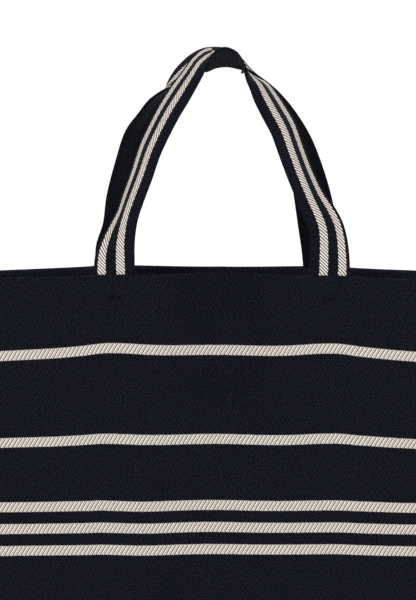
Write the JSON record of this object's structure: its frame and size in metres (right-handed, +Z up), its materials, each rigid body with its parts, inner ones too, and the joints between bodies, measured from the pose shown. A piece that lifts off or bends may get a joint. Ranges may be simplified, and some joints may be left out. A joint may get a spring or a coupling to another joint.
{
  "type": "tote bag",
  "caption": "Open-topped soft canvas tote bag with woven stripes, a gusset and two shoulder handles that swing over the rim.",
  "frame": {"origin": "middle of the underside of the base, on the surface that the bag stands on", "axes": "+Z up, front of the bag towards -Y, +X to the right as seen from the front; the bag is longest along Z, handles up"},
  "size_m": [0.45, 0.13, 0.5743],
  "materials": {
    "striped_canvas": "matt twill, dark navy with cream stripes",
    "plain_canvas": "matt twill, dark navy",
    "lining_cloth": "matt plain weave, dark navy",
    "thread": "matt dark thread"
  },
  "bodies": {
    "bag": {"front_panel": "striped_canvas", "back_panel": "striped_canvas", "left_side_panel": "striped_canvas", "right_side_panel": "striped_canvas", "base_panel": "striped_canvas", "front_lining": "lining_cloth", "back_lining": "lining_cloth", "left_side_lining": "lining_cloth", "right_side_lining": "lining_cloth", "base_lining": "lining_cloth", "front_facing": "plain_canvas", "back_facing": "plain_canvas", "left_facing": "plain_canvas", "right_facing": "plain_canvas", "front_left_handle_end": "striped_canvas", "front_right_handle_end": "striped_canvas", "back_left_handle_end": "striped_canvas", "back_right_handle_end": "striped_canvas", "front_left_tack": "thread", "front_right_tack": "thread", "back_left_tack": "thread", "back_right_tack": "thread"},
    "front_handle": {"front_handle_strap": "striped_canvas", "front_handle_backing": "plain_canvas"},
    "back_handle": {"back_handle_strap": "striped_canvas", "back_handle_backing": "plain_canvas"}
  },
  "joints": [
    {"name": "front_handle_swing", "type": "hinge", "parent": "bag", "child": "front_handle", "pos_m": [0, -0.0352, 0.3954], "axis": [1, 0, 0], "range_deg": [0, 165]},
    {"name": "back_handle_swing", "type": "hinge", "parent": "bag", "child": "back_handle", "pos_m": [0, 0.0352, 0.3954], "axis": [-1, 0, 0], "range_deg": [0, 165]}
  ]
}
